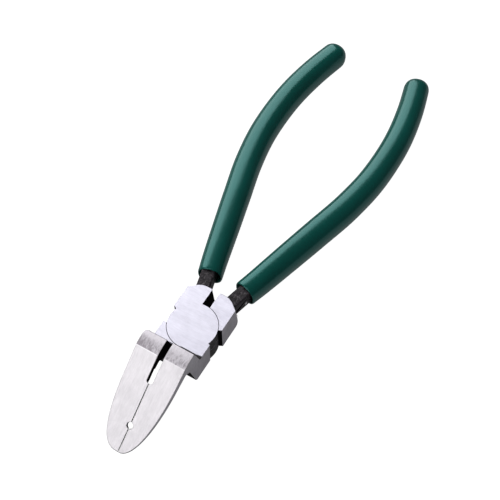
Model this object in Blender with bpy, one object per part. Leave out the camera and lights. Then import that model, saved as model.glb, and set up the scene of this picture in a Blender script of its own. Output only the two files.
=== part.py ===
"""Angled flush-cutting pliers with dipped grips: two forged halves, a rivet and two grips.

The pivot axis is Z, and the origin is where it meets the joint's back face. +Y runs from
the pivot to the handles, +Z to the raised front of the jaws, and the left handle is at -X.
The jaws are closed. Sizes are in millimetres, and MM turns them into Blender's metres.
"""

import math

import bmesh
import bpy
from mathutils import Matrix, Vector

MM = 0.001

# Lap joint: a half-thickness disc on each half turns in a round recess of the other half.
JOINT_THICKNESS = 11.0
DISC_RADIUS = 8.35
FIT_GAP = 0.3
RIVET_RADIUS = 3.2

# Cheek: the full-thickness shoulder between the disc and the handle. Its rear end has one
# outline on the joint's front face, and a longer, rounder one on the back face.
CHEEK_OUTER = 9.2
CHEEK_SLOT = 1.44
CHEEK_SLOT_CORNER = 0.5
CHEEK_END = 3.3
CHEEK_END_SLANT = 0.75
CHEEK_CROWN_AT = 5.4
CHEEK_CROWN_RADIUS = 6.0
CHEEK_FRONT = {"top": 14.75, "shoulder": 11.55, "corner": 0.3}
CHEEK_BACK = {"top": 16.05, "shoulder": 14.6, "corner": 4.5}

# Inside the disc, where they don't show, the outlines of a cheek and a jaw close between
# these distances from the midline.
ROOT_INNER = 3.0
ROOT_OUTER = 7.7

# Jaw: a full-thickness body, a riser to a crowned heel, and a thin blade that slopes down.
# The blades are ground by hand, so the left one is a little wider, squarer at its tip and
# rounder at its heel's outer corner.
JAW_HALF_WIDTH = {-1: 9.15, 1: 8.75}
JAW_ROUNDNESS = {-1: 3.0, 1: 2.15}
HEEL_CORNER = {-1: 1.4, 1: 0.3}
JAW_SIDE_DRAFT = 0.5
JAW_SHOULDER = -3.0
JAW_SLOT = 1.08
RISER_FOOT = -9.1
HEEL_BACK = -12.0
HEEL_HEIGHT = 19.9
CREASE = -17.4
CREASE_HEIGHT = 18.65
BLADE_SLOPE = 0.7154
TIP = -44.3
PAST_TIP = TIP - 1.2
EDGE_START = -24.75
EDGE_GAP = 0.1
EDGE_RELIEF_ANGLE = 28.0
EDGE_LAND = 0.35
TIP_HOLE_RADIUS = 1.1
TIP_HOLE_FROM_PIVOT = -36.75

# The jaw's underside, from the tip back to its body, as (from the pivot, height, radius).
BLADE_UNDERSIDE = (
    (PAST_TIP, -1.75, 0),
    (-23.0, 11.7, 20.0),
    (-17.1, 14.3, 0.9),
    (-14.9, 12.4, 0.4),
)
JAW_BODY_END = (
    (-11.9, 0.9, 0.2),
    (-11.2, 0.0, 0),
)

# Handle centreline, right side, as distances (from the midline, from the pivot).
HANDLE_ROUTE = (
    (4.9, 12.2),
    (7.1, 21.0),
    (9.1, 28.0),
    (12.6, 41.2),
    (16.2, 54.8),
    (19.9, 69.2),
    (22.4, 85.0),
    (22.6, 102.9),
    (20.5, 119.0),
    (16.6, 135.3),
)
HANDLE_HEIGHT = 5.5
ROUTE_STEP = 4.0
TANG_WIDTH = 4.7
TANG_THICKNESS = 6.0
TANG_RISE = 0.4
TANG_CORNER = 0.6
TANG_END_SCALE = 0.8
TANG_SHORTFALL = 8.0

# Dipped grip: a thick skin over the tang, with a wider mouth at its open rim.
GRIP_START = 9.3
GRIP_WIDTH = 9.9
GRIP_THICKNESS = 10.2
GRIP_RIM_SCALE = 0.86
GRIP_RIM_SHIFT = 0.35
GRIP_END_SCALE = 0.96
GRIP_RIM_TAPER = 50.0
GRIP_END_TAPER = 30.0
GRIP_END_TIP_SCALE = 0.12
GRIP_MOUTH_WIDTH = 6.6
GRIP_MOUTH_THICKNESS = 7.9
GRIP_MOUTH_DEPTH = 5.0

LEFT = -1
RIGHT = 1


def empty_scene():
    for item in list(bpy.data.objects):
        bpy.data.objects.remove(item, do_unlink=True)


def new_collection(name):
    collection = bpy.data.collections.new(name)
    bpy.context.scene.collection.children.link(collection)
    return collection


def make_material(name, colour, roughness, metallic):
    material = bpy.data.materials.new(name)
    material.use_nodes = True
    shader = material.node_tree.nodes["Principled BSDF"]
    shader.inputs["Base Color"].default_value = (*colour, 1.0)
    shader.inputs["Roughness"].default_value = roughness
    shader.inputs["Metallic"].default_value = metallic
    return material


def as_mesh(guide, collection):
    """Replace a curve object by a mesh object of the same name, with its caps welded on."""
    bpy.context.view_layer.update()
    evaluated = guide.evaluated_get(bpy.context.evaluated_depsgraph_get())
    mesh = bpy.data.meshes.new_from_object(evaluated)
    place = guide.matrix_world.copy()
    name = guide.name
    bpy.data.objects.remove(guide, do_unlink=True)
    shell = bmesh.new()
    shell.from_mesh(mesh)
    bmesh.ops.remove_doubles(shell, verts=shell.verts, dist=0.001 * MM)
    bmesh.ops.recalc_face_normals(shell, faces=shell.faces)
    shell.to_mesh(mesh)
    shell.free()
    solid = bpy.data.objects.new(name, mesh)
    solid.matrix_world = place
    collection.objects.link(solid)
    return solid


def combine(target, operation, tool):
    """Join, cut or intersect target with tool, which becomes a hidden guide."""
    modifier = target.modifiers.new(tool.name, "BOOLEAN")
    modifier.operation = operation
    modifier.object = tool
    tool.hide_render = True
    tool.display_type = "WIRE"


def rounded(corners, steps=6):
    """The outline through corners (x, y, radius), with an arc at each corner."""
    outline = []
    for index, (x, y, radius) in enumerate(corners):
        corner = Vector((x, y))
        if radius == 0:
            outline.append(corner)
            continue
        before = (Vector(corners[index - 1][:2]) - corner).normalized()
        after = (Vector(corners[(index + 1) % len(corners)][:2]) - corner).normalized()
        half_angle = before.angle(after) / 2
        centre = corner + (before + after).normalized() * radius / math.sin(half_angle)
        arm = corner + before * radius / math.tan(half_angle) - centre
        turn = arm.angle_signed(corner + after * radius / math.tan(half_angle) - centre)
        for step in range(steps + 1):
            outline.append(centre + Matrix.Rotation(-turn * step / steps, 2) @ arm)
    return outline


def prism(name, outline, low, high, collection):
    """A flat outline in X and Y, extruded from low to high."""
    curve = bpy.data.curves.new(name, "CURVE")
    curve.dimensions = "2D"
    curve.fill_mode = "BOTH"
    curve.extrude = (high - low) / 2 * MM
    spline = curve.splines.new("POLY")
    spline.points.add(len(outline) - 1)
    for point, (x, y) in zip(spline.points, outline):
        point.co = (x * MM, y * MM, 0, 1)
    spline.use_cyclic_u = True
    guide = bpy.data.objects.new(name, curve)
    guide.location.z = (low + high) / 2 * MM
    collection.objects.link(guide)
    return as_mesh(guide, collection)


def cylinder(name, radius, low, high, collection, sides=72):
    mesh = bpy.data.meshes.new(name)
    body = bmesh.new()
    height = (high - low) * MM
    bmesh.ops.create_cone(body, cap_ends=True, segments=sides, radius1=radius * MM,
                          radius2=radius * MM, depth=height)
    body.to_mesh(mesh)
    body.free()
    solid = bpy.data.objects.new(name, mesh)
    solid.location.z = (low + high) / 2 * MM
    collection.objects.link(solid)
    return solid


def smooth_route(points, step):
    """Points about one step apart on a Catmull-Rom curve through the given points."""
    knots = [Vector(point) for point in points]
    knots.insert(0, 2 * knots[0] - knots[1])
    knots.append(2 * knots[-1] - knots[-2])
    route = [knots[1]]
    for a, b, c, d in zip(knots, knots[1:], knots[2:], knots[3:]):
        pieces = max(1, round((c - b).length / step))
        for piece in range(1, pieces + 1):
            t = piece / pieces
            bend = (2 * a - 5 * b + 4 * c - d) * t ** 2 + (3 * b - a - 3 * c + d) * t ** 3
            route.append(b + (c - a) * t / 2 + bend / 2)
    return route


def lengths_along(route):
    lengths = [0.0]
    for start, end in zip(route, route[1:]):
        lengths.append(lengths[-1] + (end - start).length)
    return lengths


def stretch_of(route, start, end):
    """The part of a route between two lengths along it, as (point, length from start)."""
    lengths = lengths_along(route)
    stretch = []
    for index in range(len(route) - 1):
        span = lengths[index + 1] - lengths[index]
        if lengths[index] <= start < lengths[index + 1]:
            point = route[index].lerp(route[index + 1], (start - lengths[index]) / span)
            stretch.append((point, 0.0))
        if start < lengths[index + 1] < end - ROUTE_STEP / 4:
            stretch.append((route[index + 1], lengths[index + 1] - start))
        if lengths[index] < end <= lengths[index + 1] + ROUTE_STEP / 100:
            share = min(1.0, (end - lengths[index]) / span)
            point = route[index].lerp(route[index + 1], share)
            stretch.append((point, end - start))
            break
    return stretch


def dome_stretch(stretch, radius, steps=6):
    """Replace the end of a stretch by closer points, for a round end of that radius."""
    length = stretch[-1][1]
    shaft = [entry for entry in stretch if entry[1] < length - radius]
    route = [entry[0] for entry in stretch]
    for step in range(steps + 1):
        reach = length - radius + radius * math.sin(step / steps * math.pi / 2)
        shaft.append((stretch_of(route, 0.0, reach)[-1][0], reach))
    return shaft


def oval_section(width, thickness, power=2.4, sides=16):
    """A closed, slightly square oval: width across the handle, thickness along Z."""
    outline = []
    for index in range(sides):
        angle = 2 * math.pi * index / sides
        across = math.copysign(abs(math.cos(angle)) ** (2 / power), math.cos(angle))
        up = math.copysign(abs(math.sin(angle)) ** (2 / power), math.sin(angle))
        outline.append((across * width / 2, up * thickness / 2))
    return section_curve(outline)


def bar_section(width, thickness, corner, rise):
    """A rectangle with rounded corners, above the route by rise, for the handle's steel bar."""
    x, top, bottom = width / 2, rise + thickness / 2, rise - thickness / 2
    corners = [(x, top, corner), (-x, top, corner), (-x, bottom, corner), (x, bottom, corner)]
    return section_curve(rounded(corners, steps=3))


def section_curve(outline):
    curve = bpy.data.curves.new("handle_section", "CURVE")
    spline = curve.splines.new("POLY")
    spline.points.add(len(outline) - 1)
    for point, (x, y) in zip(spline.points, outline):
        point.co = (x * MM, y * MM, 0, 1)
    spline.use_cyclic_u = True
    return bpy.data.objects.new("handle_section", curve)


def sweep(name, side, stretch, scale_at, section, collection):
    """A section swept along a stretch of the handle route, scaled by scale_at(length)."""
    curve = bpy.data.curves.new(name, "CURVE")
    curve.dimensions = "3D"
    curve.twist_mode = "Z_UP"
    curve.bevel_mode = "OBJECT"
    curve.bevel_object = section
    curve.use_fill_caps = True
    spline = curve.splines.new("POLY")
    spline.points.add(len(stretch) - 1)
    for point, (place, length) in zip(spline.points, stretch):
        point.co = (side * place.x * MM, place.y * MM, HANDLE_HEIGHT * MM, 1)
        point.radius = scale_at(length)
    guide = bpy.data.objects.new(name, curve)
    collection.objects.link(guide)
    collection.objects.link(section)
    solid = as_mesh(guide, collection)
    bpy.data.objects.remove(section, do_unlink=True)
    return solid


def mirrored(outline, side):
    return [(side * x, y) for x, y in outline]


def blade_top(from_pivot):
    """Height of the blade's flat front face."""
    return CREASE_HEIGHT - BLADE_SLOPE * (CREASE - from_pivot)


def jaw_plan(side):
    """Front view of a jaw, from the disc to its rounded tip."""
    half_width = JAW_HALF_WIDTH[side]
    power = 2 / JAW_ROUNDNESS[side]
    steps = 18
    shoulder = JAW_SHOULDER + 0.1
    tip = []
    for step in range(steps, 0, -1):
        angle = math.pi / 2 * step / steps
        width = max(EDGE_GAP, half_width * abs(math.cos(angle)) ** power)
        tip.append(Vector((width, CREASE + math.sin(angle) ** power * (TIP - CREASE))))
    inner = [(ROOT_INNER, -1.0, 0), (JAW_SLOT, -2.5, 0), (JAW_SLOT, EDGE_START, 0.6),
             (EDGE_GAP, EDGE_START, 0)]
    outer = [(half_width, CREASE, 0), (half_width, shoulder - 0.5, 0.2),
             (ROOT_OUTER, shoulder, 0)]
    return mirrored(rounded(inner) + tip + rounded(outer), side)


def jaw_profile():
    """Side view of a jaw, (from the pivot, height): body, riser, heel, blade, underside."""
    body_top = [(-1.0, JOINT_THICKNESS, 0), (RISER_FOOT, JOINT_THICKNESS, 1.0)]
    heel = [(HEEL_BACK, HEEL_HEIGHT, 0.25), (-15.2, HEEL_HEIGHT - 0.3, 12.0),
            (CREASE, CREASE_HEIGHT, 0)]
    blade = [(PAST_TIP, blade_top(PAST_TIP), 0), *BLADE_UNDERSIDE]
    return rounded(body_top + heel + blade + [*JAW_BODY_END, (-1.0, 0.0, 0)], steps=5)


def jaw_front(side):
    """End view of a jaw, (from the midline, height), with its outer side drafted inwards."""
    half_width = JAW_HALF_WIDTH[side]
    low, high = -3.0, HEEL_HEIGHT + 2.0
    outline = [(-1.0, low), (half_width - JAW_SIDE_DRAFT, low), (half_width, CREASE_HEIGHT),
               (half_width + 1.0, high), (-1.0, high)]
    return mirrored(outline, side)


def cheek_plan(side, top, shoulder, corner):
    """Outline of a cheek, from the disc to its rounded rear end."""
    corners = [(CHEEK_SLOT, DISC_RADIUS - 2.0, 0), (CHEEK_SLOT, top, CHEEK_SLOT_CORNER),
               (CHEEK_CROWN_AT, top, CHEEK_CROWN_RADIUS), (CHEEK_OUTER, shoulder, corner),
               (CHEEK_OUTER, CHEEK_END, 0), (ROOT_OUTER, CHEEK_END - CHEEK_END_SLANT, 0),
               (ROOT_INNER, 1.0, 0)]
    return mirrored(rounded(corners), side)


def heel_corner(side, guides):
    """Cutter that rounds the heel's outer corner, all the way up the leaning riser."""
    radius = HEEL_CORNER[side]
    centre = Vector((JAW_HALF_WIDTH[side] - radius, HEEL_BACK - radius))
    margin = 1.5
    outside = JAW_HALF_WIDTH[side] + margin
    behind = HEEL_BACK + margin
    outline = [(outside, centre.y), (outside, behind), (centre.x, behind)]
    steps = 8
    for step in range(steps + 1):
        angle = math.pi / 2 * step / steps
        outline.append(centre + radius * Vector((math.sin(angle), math.cos(angle))))
    cutter = prism(f"heel_corner_{side}", mirrored(outline, side), JOINT_THICKNESS,
                   HEEL_HEIGHT + margin, guides)
    lean = (HEEL_BACK - RISER_FOOT) / (HEEL_HEIGHT - JOINT_THICKNESS)
    for vertex in cutter.data.vertices:
        vertex.co.y += lean * (vertex.co.z + cutter.location.z - HEEL_HEIGHT * MM)
    return cutter


def make_jaw(side, guides):
    jaw = prism(f"jaw_plan_{side}", jaw_plan(side), -6.0, HEEL_HEIGHT + 3.0, guides)
    reach = JAW_HALF_WIDTH[side] + 3.0
    profile = prism(f"jaw_profile_{side}", jaw_profile(), -reach, reach, guides)
    profile.rotation_euler = (math.pi / 2, 0, math.pi / 2)
    combine(jaw, "INTERSECT", profile)
    front = prism(f"jaw_front_{side}", jaw_front(side), TIP, -TIP, guides)
    front.rotation_euler = (math.pi / 2, 0, 0)
    combine(jaw, "INTERSECT", front)
    combine(jaw, "DIFFERENCE", heel_corner(side, guides))
    return jaw


def make_cheek(name, side, collection):
    """The cheek, lofted from its outline on the back face to the one on the front face."""
    loft = bmesh.new()
    lower = [loft.verts.new((x * MM, y * MM, 0)) for x, y in cheek_plan(side, **CHEEK_BACK)]
    upper = [loft.verts.new((x * MM, y * MM, JOINT_THICKNESS * MM))
             for x, y in cheek_plan(side, **CHEEK_FRONT)]
    loft.faces.new(lower)
    loft.faces.new(upper)
    for index in range(len(lower)):
        loft.faces.new((lower[index - 1], lower[index], upper[index], upper[index - 1]))
    bmesh.ops.triangulate(loft, faces=loft.faces)
    bmesh.ops.recalc_face_normals(loft, faces=loft.faces)
    mesh = bpy.data.meshes.new(name)
    loft.to_mesh(mesh)
    loft.free()
    cheek = bpy.data.objects.new(name, mesh)
    collection.objects.link(cheek)
    return cheek


def along_blade(solid, from_pivot):
    """Turn a solid so that its Z runs up the blade and its Y stands on the blade's face."""
    solid.rotation_euler = (math.pi / 2 + math.atan(BLADE_SLOPE), 0, 0)
    solid.location = (0, from_pivot * MM, blade_top(from_pivot) * MM)


def edge_relief(name, guides):
    """Wedge that thins both blades behind their cutting edges, leaving a narrow land."""
    depth = 6.0
    reach = 16.0
    half_width = (depth - EDGE_LAND) * math.tan(math.radians(EDGE_RELIEF_ANGLE))
    outline = [(0, -EDGE_LAND), (half_width, -depth), (-half_width, -depth)]
    return prism(name, outline, -reach, reach, guides)


def make_half(name, handle_side, disc_low, disc_high, other_low, other_high, parts, guides):
    """One forging: cheek and tang on one side, disc, and jaw on the other side."""
    half = make_cheek(name, handle_side, parts)
    jaw = make_jaw(-handle_side, guides)
    combine(half, "UNION", jaw)
    recess = cylinder(f"{name}_recess", DISC_RADIUS + FIT_GAP, other_low, other_high, guides)
    combine(half, "DIFFERENCE", recess)
    disc = cylinder(f"{name}_disc", DISC_RADIUS, disc_low, disc_high, guides)
    combine(half, "UNION", disc)
    combine(half, "UNION", make_tang(f"{name}_tang", handle_side, 0.0, guides))
    bore = cylinder(f"{name}_bore", RIVET_RADIUS + FIT_GAP, -1.0, JOINT_THICKNESS + 1.0, guides, 48)
    combine(half, "DIFFERENCE", bore)
    cut_blade_details(half, guides)
    return half


def cut_blade_details(half, guides):
    relief = edge_relief(f"{half.name}_relief", guides)
    along_blade(relief, (EDGE_START + TIP) / 2)
    combine(half, "DIFFERENCE", relief)
    hole = cylinder(f"{half.name}_tip_hole", TIP_HOLE_RADIUS, -6.0, 3.0, guides, 32)
    hole.rotation_euler = (math.atan(BLADE_SLOPE), 0, 0)
    hole.location = (0, TIP_HOLE_FROM_PIVOT * MM, blade_top(TIP_HOLE_FROM_PIVOT) * MM)
    combine(half, "DIFFERENCE", hole)


def make_tang(name, side, clearance, guides):
    """The handle's steel core, or with clearance the cavity that the grip has for it."""
    route = smooth_route(HANDLE_ROUTE, ROUTE_STEP)
    total = lengths_along(route)[-1]
    start = GRIP_START - ROUTE_STEP if clearance else 0.0
    end = total - TANG_SHORTFALL + clearance
    stretch = stretch_of(route, start, end)
    section = bar_section(TANG_WIDTH + 2 * clearance, TANG_THICKNESS + 2 * clearance,
                          TANG_CORNER + clearance, TANG_RISE)
    span = total - TANG_SHORTFALL - GRIP_START

    def scale_at(length):
        along_grip = max(0.0, length + start - GRIP_START) / span
        return 1 - (1 - TANG_END_SCALE) * along_grip

    return sweep(name, side, stretch, scale_at, section, guides)


def shift_rim(stretch, first_place):
    """Move the rim's end of a stretch towards the midline, as the dip sags off the tang there."""
    shifted = []
    for point, length in stretch:
        share = min(1.0, max(0.0, 1 - (length + first_place) / GRIP_RIM_TAPER))
        shifted.append((point - Vector((GRIP_RIM_SHIFT * share, 0)), length))
    return shifted


def make_grip(name, side, parts, guides):
    """A dipped sleeve from its open rim to a closed round end."""
    route = smooth_route(HANDLE_ROUTE, ROUTE_STEP)
    total = lengths_along(route)[-1]
    length = total - GRIP_START
    end_radius = GRIP_WIDTH / 2
    stretch = shift_rim(dome_stretch(stretch_of(route, GRIP_START, total), end_radius), 0.0)

    def scale_at(place):
        rim_share = max(0.0, 1 - place / GRIP_RIM_TAPER)
        end_share = max(0.0, 1 - (length - place) / GRIP_END_TAPER)
        taper = 1 - (1 - GRIP_RIM_SCALE) * rim_share ** 2 - (1 - GRIP_END_SCALE) * end_share ** 2
        past = max(0.0, place - (length - end_radius)) / end_radius
        return taper * max(GRIP_END_TIP_SCALE, math.sqrt(max(0.0, 1 - past * past)))

    grip = sweep(name, side, stretch, scale_at, oval_section(GRIP_WIDTH, GRIP_THICKNESS), parts)
    combine(grip, "DIFFERENCE", make_tang(f"{name}_cavity", side, FIT_GAP, guides))
    mouth_stretch = stretch_of(route, GRIP_START - ROUTE_STEP, GRIP_START + GRIP_MOUTH_DEPTH)
    mouth_stretch = shift_rim(mouth_stretch, -ROUTE_STEP)
    mouth_section = oval_section(GRIP_MOUTH_WIDTH, GRIP_MOUTH_THICKNESS)
    mouth = sweep(f"{name}_mouth", side, mouth_stretch, lambda place: 1.0, mouth_section, guides)
    combine(grip, "DIFFERENCE", mouth)
    return grip


def finish(part, material, sharp_degrees=30):
    part.data.materials.clear()
    part.data.materials.append(material)
    part.data.shade_smooth()
    part.data.set_sharp_from_angle(angle=math.radians(sharp_degrees))


def main():
    empty_scene()
    parts = new_collection("angled_flush_pliers")
    guides = new_collection("guides")
    steel = make_material("ground_steel", (0.62, 0.60, 0.66), 0.32, 1.0)
    rivet_steel = make_material("rivet_steel", (0.64, 0.62, 0.68), 0.30, 1.0)
    green = make_material("green_dip", (0.006, 0.085, 0.065), 0.25, 0.0)
    middle = JOINT_THICKNESS / 2
    half_gap = FIT_GAP / 2

    front = make_half("front_half", LEFT, middle + half_gap, JOINT_THICKNESS,
                      -1.0, middle + half_gap, parts, guides)
    back = make_half("back_half", RIGHT, 0.0, middle - half_gap,
                     middle - half_gap, HEEL_HEIGHT + 5.0, parts, guides)
    finish(front, steel)
    finish(back, steel)
    finish(cylinder("pivot_rivet", RIVET_RADIUS, 0.0, JOINT_THICKNESS, parts, 48), rivet_steel)
    finish(make_grip("left_grip", LEFT, parts, guides), green)
    finish(make_grip("right_grip", RIGHT, parts, guides), green)


main()
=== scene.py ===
"""Looks of the angled flush-cutting pliers: ground and blackened steel, and glossy dipped grips.

The forgings keep the CAD's shape. Their flat faces are made whole again, their edges are
broken, and each face gets the finish that the real one has, with shade and highlights painted
into a few of them. The rivet and the grips are rebuilt finer. Sizes are in millimetres, and MM
turns them into Blender's metres.
"""

import math

import bmesh
import bpy
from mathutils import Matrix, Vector


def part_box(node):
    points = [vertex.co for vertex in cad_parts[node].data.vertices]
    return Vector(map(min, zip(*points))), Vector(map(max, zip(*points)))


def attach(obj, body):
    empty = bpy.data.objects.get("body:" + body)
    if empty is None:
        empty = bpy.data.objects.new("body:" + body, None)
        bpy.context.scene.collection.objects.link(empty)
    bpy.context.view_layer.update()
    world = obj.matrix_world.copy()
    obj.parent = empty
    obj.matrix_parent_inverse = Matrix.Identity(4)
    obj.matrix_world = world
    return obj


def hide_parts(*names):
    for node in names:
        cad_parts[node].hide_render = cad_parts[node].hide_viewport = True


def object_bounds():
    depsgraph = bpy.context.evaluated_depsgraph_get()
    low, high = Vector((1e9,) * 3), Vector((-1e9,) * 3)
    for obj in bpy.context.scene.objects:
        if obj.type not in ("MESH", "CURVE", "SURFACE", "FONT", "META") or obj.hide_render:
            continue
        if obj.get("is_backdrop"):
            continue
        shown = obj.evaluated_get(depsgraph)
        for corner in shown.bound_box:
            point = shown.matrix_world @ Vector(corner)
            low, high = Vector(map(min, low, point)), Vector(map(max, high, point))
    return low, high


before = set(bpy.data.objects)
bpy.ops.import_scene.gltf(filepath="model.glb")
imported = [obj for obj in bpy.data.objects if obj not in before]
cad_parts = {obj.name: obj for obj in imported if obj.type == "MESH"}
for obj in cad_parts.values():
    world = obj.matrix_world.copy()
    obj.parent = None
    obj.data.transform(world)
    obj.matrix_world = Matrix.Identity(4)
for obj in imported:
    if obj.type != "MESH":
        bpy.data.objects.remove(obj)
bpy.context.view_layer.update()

MM = 0.001

# Places on the forgings, as in the CAD.
JOINT_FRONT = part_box("pivot_rivet")[1].z / MM
BORE_RADIUS = 3.5
RIVET_GAP = 0.004
RISER_FOOT = -9.1
HEEL_BACK = -12.0
CREASE = -17.4
OUTER_SIDE = 7.0
CHEEK_END = 3.3
JAW_SHOULDER = -3.0
SLOT_REACH = 1.8
CHEEK_TOP = 16.1

# The recess is drawn nearer to the disc than the CAD's, so that the line between them is thin.
DISC_RADIUS = 8.35
RECESS_RADIUS = 8.65
RECESS_SHOWN = 8.5

# Edges sharper than EDGE_ANGLE are broken, by FINE_BREAK round the joint and EDGE_BREAK elsewhere.
EDGE_BREAK = 0.12
FINE_BREAK = 0.04
EDGE_ANGLE = 33
CREASE_ANGLE = 35
SAME_FLAT_ANGLE = 1
FLAT_AREA = 10.0

# Painted marks: the shade behind the riser's foot, and a highlight on the right neck, (along Y,
# height).
RISER_SHADE_AT = -8.0
RISER_SHADE_WIDENS = 0.3
NECK_HIGHLIGHT_AT = (18.65, 4.95)

# The handles' centreline on the right side: (from the midline, from the pivot).
HANDLE_ROUTE = (
    (4.9, 12.2),
    (7.1, 21.0),
    (9.1, 28.0),
    (12.6, 41.2),
    (16.2, 54.8),
    (19.9, 69.2),
    (22.4, 85.0),
    (22.6, 102.9),
    (20.5, 119.0),
    (16.6, 135.3),
)
HANDLE_HEIGHT = 5.5
GRIP_START = 9.3
GRIP_WIDTH = 9.9
GRIP_THICKNESS = 10.2
GRIP_RIM_SCALE = 0.86
GRIP_RIM_SHIFT = 0.35
GRIP_END_SCALE = 0.96
GRIP_RIM_TAPER = 50.0
GRIP_END_TAPER = 30.0
GRIP_SQUARENESS = 2.4
MOUTH_WIDTH = 6.6
MOUTH_THICKNESS = 7.9
MOUTH_DEPTH = 5.0
TANG_WIDTH = 4.7
TANG_THICKNESS = 6.0
TANG_RISE = 0.4
TANG_END_SCALE = 0.8
TANG_SHORTFALL = 8.0
TANG_SQUARENESS = 6.0
TANG_GAP = 0.3

LEFT = -1
RIGHT = 1

# The camera looks at its target from the front right and above, in degrees and millimetres.
CAMERA_TARGET = (-0.41, 37.06, 5.5)
CAMERA_AZIMUTH = 30.49
CAMERA_ELEVATION = 57.59
CAMERA_DISTANCE = 342.5
LIGHTS_AIM_AT = (0, 45, 0)


# ---------------------------------------------------------------- materials


class Material:
    """A Principled material with short calls for the nodes that its pattern needs."""

    def __init__(self, name, roughness, metallic, **values):
        self.block = bpy.data.materials.new(name)
        self.block.use_nodes = True
        self.tree = self.block.node_tree
        self.shader = self.tree.nodes["Principled BSDF"]
        self.shader.inputs["Roughness"].default_value = roughness
        self.shader.inputs["Metallic"].default_value = metallic
        for socket, value in values.items():
            self.shader.inputs[socket.replace("_", " ")].default_value = value
        self.place = self.tree.nodes.new("ShaderNodeTexCoord").outputs["Object"]

    def link(self, source, target):
        self.tree.links.new(source, target)

    def noise(self, size, stretch=(1, 1, 1), detail=3.0, roughness=0.55, turn=(0, 0, 0)):
        """Noise with features of about size mm, stretched along the axes."""
        mapping = self.tree.nodes.new("ShaderNodeMapping")
        mapping.inputs["Rotation"].default_value = turn
        mapping.inputs["Scale"].default_value = [1 / (size * MM * s) for s in stretch]
        noise = self.tree.nodes.new("ShaderNodeTexNoise")
        noise.inputs["Scale"].default_value = 1.0
        noise.inputs["Detail"].default_value = detail
        noise.inputs["Roughness"].default_value = roughness
        self.link(self.place, mapping.inputs["Vector"])
        self.link(mapping.outputs["Vector"], noise.inputs["Vector"])
        return noise.outputs["Fac"]

    def axis(self, name):
        """One coordinate of the row frame, in metres."""
        split = self.tree.nodes.new("ShaderNodeSeparateXYZ")
        self.link(self.place, split.inputs["Vector"])
        return split.outputs[name]

    def fit(self, source, low, high, to_low=0.0, to_high=1.0):
        """Maps low..high of a value to to_low..to_high, and holds it there outside."""
        fit = self.tree.nodes.new("ShaderNodeMapRange")
        for socket, value in zip(("From Min", "From Max", "To Min", "To Max"),
                                 (low, high, to_low, to_high)):
            fit.inputs[socket].default_value = value
        self.link(source, fit.inputs["Value"])
        return fit.outputs["Result"]

    def maths(self, operation, a, b=0):
        node = self.tree.nodes.new("ShaderNodeMath")
        node.operation = operation
        for socket, value in zip(node.inputs, (a, b)):
            if isinstance(value, (int, float)):
                socket.default_value = value
            else:
                self.link(value, socket)
        return node.outputs["Value"]

    def blend(self, factor, a, b):
        """A colour between a and b, which are colours or other blends."""
        mix = self.tree.nodes.new("ShaderNodeMix")
        mix.data_type = "RGBA"
        self.link(factor, mix.inputs["Factor"])
        for index, colour in ((6, a), (7, b)):
            if isinstance(colour, tuple):
                mix.inputs[index].default_value = (*colour, 1.0)
            else:
                self.link(colour, mix.inputs[index])
        return mix.outputs[2]

    def colour(self, source):
        if isinstance(source, tuple):
            self.shader.inputs["Base Color"].default_value = (*source, 1.0)
        else:
            self.link(source, self.shader.inputs["Base Color"])

    def roughness(self, source):
        self.link(source, self.shader.inputs["Roughness"])

    def bump(self, source, depth, below=None):
        """Surface relief of depth mm, on top of the relief below."""
        bump = self.tree.nodes.new("ShaderNodeBump")
        bump.inputs["Strength"].default_value = 1.0
        bump.inputs["Distance"].default_value = depth * MM
        self.link(source, bump.inputs["Height"])
        if below is not None:
            self.link(below, bump.inputs["Normal"])
        self.link(bump.outputs["Normal"], self.shader.inputs["Normal"])
        return bump.outputs["Normal"]


def ground_steel(name, colour, dark, roughness, stretch, turn=(0, 0, 0), depth=0.004, marks=()):
    """Steel off a grinding belt: fine straight lines, soft cloudy patches, uneven gloss.
    Each mark is (a function that makes its mask from the material, its colour)."""
    steel = Material(name, roughness, 1.0)
    lines = steel.noise(0.16, stretch, 4.0, 0.6, turn)
    broad = steel.noise(0.9, stretch, 2.0, 0.5, turn)
    clouds = steel.noise(4.0, (1.0, 1.3, 1.0), 3.0, 0.6)
    tone = steel.maths("ADD", steel.fit(lines, 0.3, 0.7, -0.3, 0.3),
                       steel.maths("ADD", steel.fit(broad, 0.3, 0.7, -0.2, 0.2),
                                   steel.fit(clouds, 0.3, 0.7, 0.2, 0.8)))
    shade = steel.blend(tone, dark, colour)
    for mask, mark_colour in marks:
        shade = steel.blend(mask(steel), shade, mark_colour)
    steel.colour(shade)
    steel.roughness(steel.fit(lines, 0.25, 0.75, roughness + 0.07, roughness - 0.07))
    steel.bump(lines, depth, steel.bump(broad, depth * 1.5))
    return steel.block


def riser_painted_shade(steel):
    """Mask of the shade painted on the front forging's face, just behind its riser,
    in a strip that widens towards the outer corner."""
    x = steel.axis("X")
    widening = steel.fit(x, 6.3 * MM, 8.6 * MM, 0.0, RISER_SHADE_WIDENS * MM)
    depth = steel.maths("SUBTRACT", steel.axis("Y"), widening)
    behind = steel.fit(depth, RISER_SHADE_AT * MM, (RISER_SHADE_AT - 0.2) * MM)
    return steel.maths("MULTIPLY", behind, steel.fit(x, 0.5 * MM, 1.0 * MM))


def crease_painted_highlight(steel):
    """Mask of a highlight painted along the crease between heel and blade, mostly on the left."""
    y = steel.axis("Y")
    above = steel.fit(y, (CREASE - 0.30) * MM, (CREASE - 0.20) * MM)
    below = steel.fit(y, (CREASE + 0.02) * MM, (CREASE - 0.08) * MM)
    left = steel.fit(steel.axis("X"), 1.0 * MM, -1.0 * MM, 0.15, 0.6)
    return steel.maths("MULTIPLY", left, steel.maths("MULTIPLY", above, below))


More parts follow.
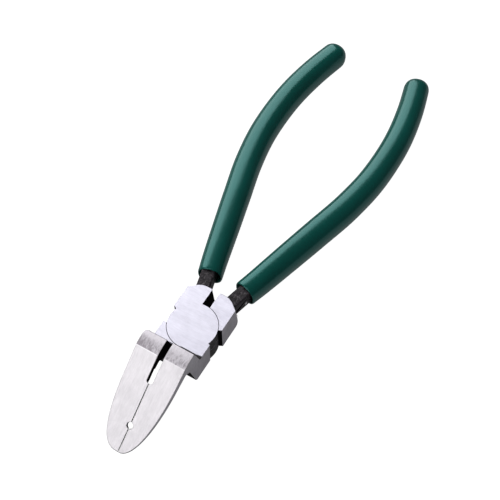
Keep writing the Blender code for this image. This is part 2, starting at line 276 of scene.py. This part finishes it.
def heel_steel():
    """The heel's hand-ground band: coarse lines along the tool, with painted shade that darkens it
    towards the crease, most of all at the left jaw's outer side."""
    steel = Material("heel_steel", 0.42, 1.0)
    lines = steel.noise(0.45, (1.0, 5.0, 1.0), 4.0, 0.7)
    blotches = steel.noise(0.9, (1.0, 2.2, 1.0), 4.0, 0.75)
    down = steel.fit(steel.axis("Y"), (HEEL_BACK - 1.2) * MM, (CREASE + 0.1) * MM)
    left = steel.fit(steel.axis("X"), 0.0, -9.0 * MM, 0.3, 1.25)
    # Painted shade: darker towards the crease, most of all on the left.
    heel_shade = steel.maths("MULTIPLY", down, left)
    mottle = steel.maths("ADD", steel.fit(lines, 0.36, 0.64, -0.6, 0.6),
                         steel.fit(blotches, 0.36, 0.64, -0.45, 0.45))
    mottle = steel.maths("MULTIPLY", mottle, steel.fit(down, 0, 1, 0.5, 1.0))
    tone = steel.maths("ADD", heel_shade, mottle)
    shade = steel.blend(tone, (0.63, 0.60, 0.64), (0.33, 0.30, 0.33))
    # A highlight painted along the crease.
    steel.colour(steel.blend(crease_painted_highlight(steel), shade, (0.95, 0.93, 0.96)))
    steel.roughness(steel.fit(lines, 0.25, 0.75, 0.5, 0.34))
    steel.bump(lines, 0.008, steel.bump(blotches, 0.01))
    return steel.block


def neck_painted_highlight(oxide):
    """Mask of a small highlight painted on the right neck's outer side, by the grip's rim."""
    y, height = NECK_HIGHLIGHT_AT
    along = oxide.maths("ABSOLUTE", oxide.maths("SUBTRACT", oxide.axis("Y"), y * MM))
    up = oxide.maths("ABSOLUTE", oxide.maths("SUBTRACT", oxide.axis("Z"), height * MM))
    near = oxide.maths("MULTIPLY", oxide.fit(along, 0.55 * MM, 0.35 * MM),
                       oxide.fit(up, 0.75 * MM, 0.5 * MM))
    return oxide.maths("MULTIPLY", near, oxide.fit(oxide.axis("X"), 7.8 * MM, 8.2 * MM))


def black_oxide():
    """Blackened forging scale: pitted and matt, with paler specks where it is rubbed."""
    oxide = Material("black_oxide", 0.5, 0.0, Specular_IOR_Level=0.22)
    grain = oxide.noise(0.35, (1, 1, 1), 6.0, 0.7)
    pits = oxide.noise(1.3, (1, 1, 1), 3.0, 0.6)
    specks = oxide.fit(oxide.noise(0.8, (1, 1.6, 1), 5.0, 0.75), 0.53, 0.66)
    plain = oxide.blend(oxide.fit(pits, 0.35, 0.65), (0.007, 0.005, 0.007), (0.036, 0.030, 0.036))
    speckled = oxide.blend(specks, plain, (0.15, 0.135, 0.145))
    # A small highlight painted on the right neck, over the speckled oxide.
    oxide.colour(oxide.blend(neck_painted_highlight(oxide), speckled, (0.85, 0.83, 0.86)))
    oxide.roughness(oxide.fit(grain, 0.3, 0.7, 0.62, 0.4))
    oxide.bump(grain, 0.06, oxide.bump(pits, 0.12))
    return oxide.block


def gap_oxide_and_shade():
    """The walls of the slots and notches: black oxide, darkened and dulled further by painted shade,
    so that the gaps read as dark lines.
    """
    black = Material("gap_oxide_and_shade", 0.8, 0.0, Specular_IOR_Level=0.02)
    shade_noise = black.noise(0.8, (1, 1, 1), 3.0, 0.6)
    black.colour(black.blend(black.fit(shade_noise, 0.3, 0.7), (0.003, 0.002, 0.003),
                             (0.010, 0.008, 0.010)))
    black.bump(shade_noise, 0.02)
    return black.block


def dipped_vinyl():
    """Glossy dark green dip: smooth, with a slow unevenness from the dipping tank."""
    vinyl = Material("dipped_vinyl", 0.25, 0.0, IOR=1.5, Specular_IOR_Level=0.9,
                     Specular_Tint=(0.42, 1.0, 0.98, 1.0))
    flow = vinyl.noise(9.0, (1, 2.5, 1), 2.0, 0.5)
    peel = vinyl.noise(1.4, (1, 1, 1), 2.0, 0.5)
    vinyl.colour(vinyl.blend(vinyl.fit(flow, 0.3, 0.7), (0.001, 0.080, 0.062),
                             (0.0015, 0.096, 0.076)))
    vinyl.roughness(vinyl.fit(peel, 0.3, 0.7, 0.24, 0.19))
    vinyl.bump(peel, 0.012, vinyl.bump(flow, 0.06))
    return vinyl.block


def floor_paint():
    """White paper, lit from behind mostly for the camera, so that little of it shows in the steel."""
    floor = Material("floor_paint", 0.9, 0.0)
    grain = floor.noise(40.0)
    floor.colour(floor.blend(grain, (0.60, 0.60, 0.60), (0.63, 0.63, 0.63)))
    floor.shader.inputs["Emission Color"].default_value = (1, 1, 1, 1)
    camera_ray = floor.tree.nodes.new("ShaderNodeLightPath").outputs["Is Camera Ray"]
    floor.link(floor.fit(camera_ray, 0, 1, 0.19, 1.0), floor.shader.inputs["Emission Strength"])
    return floor.block


# ---------------------------------------------------------------- forgings

FACE, BLADE, HEEL, SIDE, OXIDE, EDGE, GAP = range(7)


def finish_of(face):
    """Which finish a forging's face has, from where it is and where it points."""
    place = face.calc_center_median() / MM
    normal = face.normal
    on_face = min(abs(place.z), abs(place.z - JOINT_FRONT)) < 0.05
    if abs(normal.z) > 0.98 and on_face and place.y > RISER_FOOT - 3:
        return FACE
    if place.y < CREASE + 0.2 and abs(normal.x) < 0.2 and abs(normal.z) > 0.5:
        return BLADE
    if place.y < HEEL_BACK + 0.4 and normal.z > 0.8:
        return HEEL
    outward = place.x * normal.x > 0
    if place.y < CREASE and outward:
        return SIDE
    on_jaw = JAW_SHOULDER > place.y and abs(place.x) > OUTER_SIDE and abs(normal.x) > 0.8
    on_cheek = CHEEK_END < place.y < CHEEK_TOP and abs(normal.x) > 0.35 and normal.y > -0.1
    if outward and (on_jaw or on_cheek and abs(place.x) > SLOT_REACH):
        return SIDE
    if place.y > CHEEK_TOP:
        return OXIDE
    # The front-facing wall under the heel, the slots and the notches get the gap finish, with its
    # painted shade.
    if normal.y < -0.6 and HEEL_BACK > place.y > CREASE:
        return GAP
    in_slot = abs(place.x) < SLOT_REACH and abs(normal.x) > 0.7
    faces_notch = abs(normal.y) > 0.5 and CHEEK_END + 1 > place.y > JAW_SHOULDER - 1
    return GAP if in_slot or faces_notch else OXIDE


def around_pivot(edge, radius):
    """Whether an edge runs round the pivot at a radius."""
    return all(abs(vertex.co.xy.length / MM - radius) < 0.05 for vertex in edge.verts)


def on_riser_ledge(edge):
    """Whether an edge lies round the small ledge at the riser's foot, too narrow to break."""
    return all(RISER_FOOT - 0.1 < vertex.co.y / MM < RISER_FOOT + 0.8
               and abs(vertex.co.z / MM - JOINT_FRONT) < 0.02 for vertex in edge.verts)


def break_edges(shell, edges, width, segments):
    return bmesh.ops.bevel(shell, geom=edges, offset=width * MM, offset_type="OFFSET",
                           segments=segments, profile=0.5, affect="EDGES", clamp_overlap=False,
                           miter_outer="SHARP", miter_inner="SHARP")["faces"]


def is_crisp(edge):
    """Whether the shading breaks at an edge: at a sharp angle, and all round a ground flat."""
    bend = math.degrees(edge.calc_face_angle(0))
    flats = [face for face in edge.link_faces if face.material_index in (FACE, BLADE)]
    round_a_flat = len(flats) == 1 or edge.is_boundary
    between_flats = len(flats) == 2 and bend > SAME_FLAT_ANGLE
    return bend > CREASE_ANGLE or round_a_flat or between_flats


def forging(node, body, finishes):
    """A CAD forging with whole flat faces, broken edges and its finishes, painted shade and
    highlights among them. A cut at the midline splits the flats round the bore, away from the corners
    that are broken next."""
    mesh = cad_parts[node].data.copy()
    mesh.materials.clear()
    for finish in finishes:
        mesh.materials.append(finish)
    shell = bmesh.new()
    shell.from_mesh(mesh)
    bmesh.ops.remove_doubles(shell, verts=shell.verts, dist=0.002 * MM)
    cut = bmesh.ops.bisect_plane(shell, geom=[*shell.verts, *shell.edges, *shell.faces],
                                 dist=0.001 * MM, plane_co=(0, 0, 0), plane_no=(1, 0, 0))
    for edge in [item for item in cut["geom_cut"] if isinstance(item, bmesh.types.BMEdge)]:
        edge.seam = True
    bmesh.ops.dissolve_limit(shell, angle_limit=math.radians(0.6), verts=shell.verts,
                             edges=shell.edges, delimit={"SEAM"})
    for face in shell.faces:
        face.material_index = finish_of(face)
    for vertex in shell.verts:
        if abs(vertex.co.xy.length / MM - RECESS_RADIUS) < 0.01:
            vertex.co.xy *= RECESS_SHOWN / RECESS_RADIUS
    fine, broad = [], []
    for edge in shell.edges:
        if edge.calc_face_angle(0) < math.radians(EDGE_ANGLE):
            continue
        if around_pivot(edge, BORE_RADIUS) or on_riser_ledge(edge):
            continue
        round_joint = around_pivot(edge, DISC_RADIUS) or around_pivot(edge, RECESS_SHOWN)
        (fine if round_joint else broad).append(edge)
    break_edges(shell, fine, FINE_BREAK, 1)
    broad = [edge for edge in broad if edge.is_valid]
    bevel = break_edges(shell, broad, EDGE_BREAK, 2)
    for face in bevel:
        beside = {other.material_index for edge in face.edges for other in edge.link_faces}
        if face.calc_center_median().y > CHEEK_TOP * MM:
            face.material_index = OXIDE
        elif beside & {SIDE, BLADE, HEEL}:
            face.material_index = EDGE
    for face in shell.faces:
        face.smooth = face.calc_area() < FLAT_AREA * MM * MM
    for edge in shell.edges:
        edge.smooth = not is_crisp(edge)
    shell.to_mesh(mesh)
    shell.free()
    piece = bpy.data.objects.new(f"{node}_forging", mesh)
    bpy.context.scene.collection.objects.link(piece)
    piece.modifiers.new("flat_faces", "WEIGHTED_NORMAL").keep_sharp = True
    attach(piece, body)
    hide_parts(node)
    return piece


def rivet(finish):
    """The rivet, ground flush at both ends, so that it hardly shows."""
    radius = BORE_RADIUS - RIVET_GAP
    shell = bmesh.new()
    bmesh.ops.create_cone(shell, cap_ends=True, segments=128, radius1=radius * MM,
                          radius2=radius * MM, depth=JOINT_FRONT * MM)
    bmesh.ops.translate(shell, vec=(0, 0, JOINT_FRONT / 2 * MM), verts=shell.verts)
    for face in shell.faces:
        face.smooth = True
    mesh = bpy.data.meshes.new("pivot_rivet_flush")
    shell.to_mesh(mesh)
    shell.free()
    mesh.materials.append(finish)
    mesh.set_sharp_from_angle(angle=math.radians(CREASE_ANGLE))
    piece = bpy.data.objects.new("pivot_rivet_flush", mesh)
    bpy.context.scene.collection.objects.link(piece)
    piece.modifiers.new("flat_faces", "WEIGHTED_NORMAL").keep_sharp = True
    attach(piece, "left_handle_half")
    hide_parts("pivot_rivet")
    return piece


# ---------------------------------------------------------------- grips


def smooth_route(points, step):
    """Points about one step apart on a Catmull-Rom curve through the given points."""
    knots = [Vector(point) for point in points]
    knots.insert(0, 2 * knots[0] - knots[1])
    knots.append(2 * knots[-1] - knots[-2])
    route = [knots[1]]
    for a, b, c, d in zip(knots, knots[1:], knots[2:], knots[3:]):
        pieces = max(1, round((c - b).length / step))
        for piece in range(1, pieces + 1):
            t = piece / pieces
            bend = (2 * a - 5 * b + 4 * c - d) * t ** 2 + (3 * b - a - 3 * c + d) * t ** 3
            route.append(b + (c - a) * t / 2 + bend / 2)
    return route


class Route:
    """The handle's centreline, read by the length along it in mm."""

    def __init__(self, points):
        self.points = smooth_route(points, 0.5)
        self.lengths = [0.0]
        for start, end in zip(self.points, self.points[1:]):
            self.lengths.append(self.lengths[-1] + (end - start).length)
        self.length = self.lengths[-1]

    def at(self, place):
        """The point and the direction at a length along the route."""
        index = max(i for i, length in enumerate(self.lengths[:-1]) if length <= max(0, place))
        start, end = self.points[index], self.points[index + 1]
        along = (end - start).normalized()
        return start + along * (place - self.lengths[index]), along


def ring(shell, route, side, place, width, thickness, squareness, shift=0.0, rise=0.0, sides=56):
    """A closed ring of vertices round the route, as a slightly square oval."""
    point, along = route.at(place)
    across = Vector((along.y, -along.x))
    centre = point - Vector((shift, 0))
    vertices = []
    for index in range(sides):
        angle = 2 * math.pi * index / sides
        out = math.copysign(abs(math.cos(angle)) ** (2 / squareness), math.cos(angle))
        up = math.copysign(abs(math.sin(angle)) ** (2 / squareness), math.sin(angle))
        spot = centre + across * (out * width / 2)
        height = HANDLE_HEIGHT + rise + up * thickness / 2
        vertices.append(shell.verts.new((side * spot.x * MM, spot.y * MM, height * MM)))
    return vertices


def grip_rings(route):
    """The grip's skin as (place, width, thickness, squareness, shift), and a rise round the tang,
    from its closed end over the outside to the rim, and back down the mouth and the cavity."""
    end = route.length
    radius = GRIP_WIDTH / 2 * GRIP_END_SCALE
    lip = 0.55
    rings = []

    def outside(place, shrink=0.0):
        rim_share = max(0.0, 1 - (place - GRIP_START) / GRIP_RIM_TAPER)
        end_share = max(0.0, 1 - (end - place) / GRIP_END_TAPER)
        scale = 1 - (1 - GRIP_RIM_SCALE) * rim_share ** 2
        scale -= (1 - GRIP_END_SCALE) * end_share ** 2
        return (GRIP_WIDTH * scale - shrink, GRIP_THICKNESS * scale - shrink, GRIP_SQUARENESS,
                GRIP_RIM_SHIFT * rim_share)

    for step in range(1, 15):
        angle = math.pi / 2 * step / 14
        width, thickness, squareness, shift = outside(end - radius)
        squareness = 2 + (squareness - 2) * math.sin(angle)
        rings.append((end - radius + radius * math.cos(angle), width * math.sin(angle),
                      thickness * math.sin(angle), squareness, shift))
    steps = 100
    for step in range(1, steps + 1):
        place = end - radius - (end - radius - GRIP_START - lip) * step / steps
        rings.append((place, *outside(place)))
    for step in range(1, 9):
        angle = math.pi * step / 8
        place = GRIP_START + lip * (1 - math.sin(angle))
        rings.append((place, *outside(GRIP_START, lip * (1 - math.cos(angle)))))
    shift = GRIP_RIM_SHIFT
    for depth in (1.0, 2.0, 3.2, 4.4, MOUTH_DEPTH):
        rings.append((GRIP_START + depth, MOUTH_WIDTH - depth * 0.1, MOUTH_THICKNESS - depth * 0.05,
                      3.0, shift * (1 - depth / GRIP_RIM_TAPER)))
    tang_end = end - TANG_SHORTFALL + TANG_GAP
    span = tang_end - GRIP_START
    steps = 40
    for step in range(steps + 1):
        place = GRIP_START + MOUTH_DEPTH + (tang_end - GRIP_START - MOUTH_DEPTH) * step / steps
        scale = 1 - (1 - TANG_END_SCALE) * (place - GRIP_START) / span
        rings.append((place, (TANG_WIDTH + 2 * TANG_GAP) * scale,
                      (TANG_THICKNESS + 2 * TANG_GAP) * scale, TANG_SQUARENESS, 0.0,
                      TANG_RISE * scale))
    return rings


def grip(name, side, body, node, finish):
    route = Route(HANDLE_ROUTE)
    shell = bmesh.new()
    loops = [ring(shell, route, side, *values) for values in grip_rings(route)]
    for first, second in zip(loops, loops[1:]):
        for index in range(len(first)):
            after = (index + 1) % len(first)
            shell.faces.new((first[index], first[after], second[after], second[index]))
    shell.faces.new(loops[0])
    shell.faces.new(loops[-1])
    bmesh.ops.recalc_face_normals(shell, faces=shell.faces)
    for face in shell.faces:
        face.smooth = True
    mesh = bpy.data.meshes.new(name)
    shell.to_mesh(mesh)
    shell.free()
    mesh.materials.append(finish)
    piece = bpy.data.objects.new(name, mesh)
    bpy.context.scene.collection.objects.link(piece)
    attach(piece, body)
    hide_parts(node)
    return piece


# ---------------------------------------------------------------- studio


def camera():
    view = bpy.data.cameras.new("camera")
    view.lens = 72
    view.sensor_width = 36
    view.clip_start = 0.001
    eye = bpy.data.objects.new("camera", view)
    bpy.context.scene.collection.objects.link(eye)
    target = Vector(CAMERA_TARGET) * MM
    azimuth, elevation = math.radians(CAMERA_AZIMUTH), math.radians(CAMERA_ELEVATION)
    direction = Vector((math.sin(azimuth) * math.cos(elevation),
                        -math.cos(azimuth) * math.cos(elevation), math.sin(elevation)))
    eye.location = target + direction * CAMERA_DISTANCE * MM
    eye.rotation_euler = (-direction).to_track_quat("-Z", "Y").to_euler()
    bpy.context.scene.camera = eye


def softbox(name, direction, distance, size, radiance, pieces=()):
    """An area light that faces the tool. Its radiance is what a mirror shows of it, and its
    distance and size are in metres. With pieces, it is flagged off from everything else."""
    lamp = bpy.data.lights.new(name, "AREA")
    lamp.shape = "RECTANGLE"
    lamp.size, lamp.size_y = size
    lamp.energy = radiance * math.pi * size[0] * size[1]
    box = bpy.data.objects.new(name, lamp)
    bpy.context.scene.collection.objects.link(box)
    direction = Vector(direction).normalized()
    box.location = Vector(LIGHTS_AIM_AT) * MM + direction * distance
    box.rotation_euler = direction.to_track_quat("Z", "Y").to_euler()
    if pieces:
        box.light_linking.receiver_collection = bpy.data.collections.new(f"{name}_pieces")
        for piece in pieces:
            box.light_linking.receiver_collection.objects.link(piece)


def studio(steel_pieces, vinyl_pieces):
    """Soft boxes round a white floor. The steel and the grips have a key light each, as one
    box can't light the flat faces evenly and draw a narrow highlight along the grips."""
    world = bpy.data.worlds.new("studio")
    bpy.context.scene.world = world
    world.use_nodes = True
    background = world.node_tree.nodes["Background"]
    background.inputs["Color"].default_value = (0.9, 0.93, 1.0, 1)
    background.inputs["Strength"].default_value = 0.1
    softbox("steel_key", (-0.635, 0.46, 0.62), 0.7, (0.56, 0.9), 2.05, steel_pieces)
    softbox("steel_fill", (0.0, 0.0, 1.0), 1.2, (2.0, 2.0), 0.3, steel_pieces)
    softbox("vinyl_key", (-0.675, 0.50, 0.545), 0.7, (0.8, 0.60), 2.4, vinyl_pieces)
    softbox("overhead", (-0.30, -0.20, 0.93), 0.7, (0.16, 0.5), 0.9)
    softbox("front", (-0.30, -0.75, 0.60), 0.7, (0.5, 0.55), 1.38)
    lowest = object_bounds()[0][2]
    mesh = bpy.data.meshes.new("floor")
    shell = bmesh.new()
    bmesh.ops.create_grid(shell, x_segments=8, y_segments=8, size=2.5)
    shell.to_mesh(mesh)
    shell.free()
    mesh.materials.append(floor_paint())
    floor = bpy.data.objects.new("floor", mesh)
    floor.location = (0, 0, lowest)
    bpy.context.scene.collection.objects.link(floor)
    floor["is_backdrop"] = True
    bpy.context.scene.view_settings.view_transform = "Standard"


def main():
    camera()
    across, along, upright = (14.0, 1.0, 1.0), (1.0, 14.0, 10.0), (1.0, 1.0, 12.0)
    face = (0.60, 0.59, 0.67), (0.50, 0.49, 0.56)
    blade = (0.80, 0.77, 0.80), (0.68, 0.655, 0.68)
    side = (0.56, 0.535, 0.585), (0.40, 0.38, 0.415)
    finishes = [
        # The face steel's mark is shade painted behind the riser's foot.
        ground_steel("face_steel", *face, 0.40, across, marks=[(riser_painted_shade, (0.03, 0.028, 0.03))]),
        # The blade steel's mark is a highlight painted along the crease.
        ground_steel("blade_steel", *blade, 0.40, along, marks=[(crease_painted_highlight, (0.95, 0.93, 0.96))]),
        heel_steel(),
        ground_steel("side_steel", *side, 0.40, upright),
        black_oxide(),
        ground_steel("edge_steel", (0.62, 0.61, 0.60), (0.45, 0.44, 0.44), 0.35, (1, 1, 1)),
        # Slot and notch walls: oxide black deepened by painted shade.
        gap_oxide_and_shade(),
    ]
    steel_pieces = [
        forging("front_half", "left_handle_half", finishes),
        forging("back_half", "right_handle_half", finishes),
        rivet(ground_steel("rivet_face", *face, 0.40, across)),
    ]
    vinyl = dipped_vinyl()
    vinyl_pieces = [
        grip("left_dipped_grip", LEFT, "left_handle_half", "left_grip", vinyl),
        grip("right_dipped_grip", RIGHT, "right_handle_half", "right_grip", vinyl),
    ]
    studio(steel_pieces, vinyl_pieces)


main()
